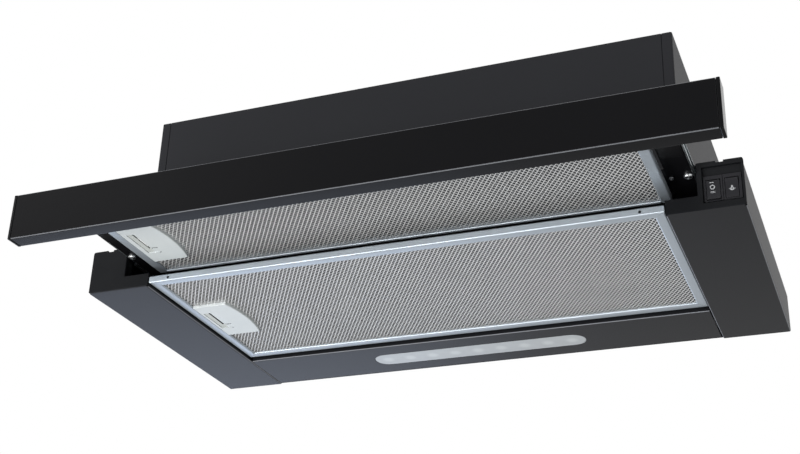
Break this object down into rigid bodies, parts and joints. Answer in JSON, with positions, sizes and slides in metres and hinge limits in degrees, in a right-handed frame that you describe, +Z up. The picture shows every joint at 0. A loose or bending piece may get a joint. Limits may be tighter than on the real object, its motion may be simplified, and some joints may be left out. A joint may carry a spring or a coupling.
{
  "type": "pull-out range hood",
  "caption": "Slim pull-out range hood: a sliding front with its own grease filter, a fixed filter, a flush LED lamp, rocker switches, and a blower housing with a round duct collar.",
  "frame": {"origin": "on the underside of the base, in the middle of the whole footprint with the slider pulled out", "axes": "+X to the right along the fascia, +Y to the back, +Z up towards the duct collar"},
  "size_m": [0.602, 0.4, 0.208],
  "materials": {
    "painted_steel": "satin black powder paint on sheet steel",
    "black_plastic": "fine-textured black ABS",
    "rocker_plastic": "moulded black PA with white printed marks",
    "dark_steel": "black painted steel channel",
    "zinc_steel": "zinc-plated steel",
    "screw_steel": "bright plated steel",
    "bare_aluminium": "mill-finish folded aluminium",
    "mesh_aluminium": "expanded aluminium mesh in layers",
    "grey_plastic": "light grey moulded ABS",
    "frosted_lens": "frosted polycarbonate lamp lens",
    "circuit_board": "white solder mask with LEDs",
    "white_plastic": "off-white moulded plastic",
    "scroll_plastic": "dark grey moulded PP",
    "motor_steel": "painted motor shell and laminations",
    "flap_plastic": "dark grey moulded PP",
    "red_plastic": "red acetal plunger"
  },
  "bodies": {
    "base": {"base_deck": "painted_steel", "left_wing_cover": "painted_steel", "right_wing_cover": "painted_steel", "left_end_cap": "black_plastic", "control_box": "black_plastic", "speed_switch": "black_plastic", "light_switch": "black_plastic", "lamp_panel": "painted_steel", "lamp_lens": "frosted_lens", "led_board": "circuit_board", "lamp_tray": "zinc_steel", "led_driver": "white_plastic", "rear_filter_frame": "bare_aluminium", "rear_filter_mesh": "mesh_aluminium", "rear_filter_handle": "grey_plastic", "left_runner": "zinc_steel", "right_runner": "zinc_steel", "left_liner": "black_plastic", "right_liner": "black_plastic", "housing_front": "painted_steel", "housing_left": "painted_steel", "housing_right": "painted_steel", "housing_back": "painted_steel", "housing_top": "painted_steel", "housing_screws": "screw_steel", "fan_scroll": "scroll_plastic", "motor": "motor_steel", "motor_bracket": "zinc_steel", "capacitor": "white_plastic", "terminal_box": "white_plastic", "cable_gland": "black_plastic", "outlet_collar": "black_plastic", "flap_pins": "screw_steel", "collar_screws": "screw_steel", "micro_switch": "black_plastic"},
    "speed_rocker": {"speed_rocker": "rocker_plastic"},
    "light_rocker": {"light_rocker": "rocker_plastic"},
    "rear_latch": {"rear_filter_latch": "grey_plastic"},
    "slider": {"front_filter_frame": "bare_aluminium", "front_filter_mesh": "mesh_aluminium", "front_filter_handle": "grey_plastic", "fascia_panel": "painted_steel", "fascia_left_cap": "black_plastic", "fascia_right_cap": "black_plastic", "left_fascia_bracket": "dark_steel", "right_fascia_bracket": "dark_steel", "left_slider_member": "dark_steel", "right_slider_member": "dark_steel", "left_slide_rail": "zinc_steel", "right_slide_rail": "zinc_steel", "slider_crossbar": "dark_steel", "slider_screws": "screw_steel"},
    "front_latch": {"front_filter_latch": "grey_plastic"},
    "impeller": {"impeller": "white_plastic", "motor_shaft": "screw_steel"},
    "left_flap": {"left_flap": "flap_plastic"},
    "right_flap": {"right_flap": "flap_plastic"},
    "switch_plunger": {"switch_plunger": "red_plastic"}
  },
  "joints": [
    {"name": "slider_slide", "type": "slide", "parent": "base", "child": "slider", "axis": [0, 1, 0], "range_m": [0, 0.104]},
    {"name": "speed_rocker_tilt", "type": "hinge", "parent": "base", "child": "speed_rocker", "pos_m": [0.27415, -0.074, 0.01775], "axis": [1, 0, 0], "range_deg": [-8, 8]},
    {"name": "light_rocker_tilt", "type": "hinge", "parent": "base", "child": "light_rocker", "pos_m": [0.2886, -0.074, 0.01775], "axis": [1, 0, 0], "range_deg": [-14, 0]},
    {"name": "rear_latch_slide", "type": "slide", "parent": "base", "child": "rear_latch", "axis": [1, 0, 0], "range_m": [0, 0.004], "stiffness_N_per_m": 400, "springref_m": -0.003},
    {"name": "front_latch_slide", "type": "slide", "parent": "slider", "child": "front_latch", "axis": [1, 0, 0], "range_m": [0, 0.004], "stiffness_N_per_m": 400, "springref_m": -0.003},
    {"name": "impeller_spin", "type": "hinge", "parent": "base", "child": "impeller", "pos_m": [0, 0.033, 0.112], "axis": [1, 0, 0], "continuous": true},
    {"name": "left_flap_swing", "type": "hinge", "parent": "base", "child": "left_flap", "pos_m": [-0.004, 0.064, 0.191], "axis": [0, 1, 0], "range_deg": [0, 80]},
    {"name": "right_flap_swing", "type": "hinge", "parent": "base", "child": "right_flap", "pos_m": [0.004, 0.064, 0.191], "axis": [0, -1, 0], "range_deg": [0, 80]},
    {"name": "plunger_press", "type": "slide", "parent": "base", "child": "switch_plunger", "axis": [0, 1, 0], "range_m": [0, 0.0015], "stiffness_N_per_m": 500, "springref_m": -0.001}
  ]
}
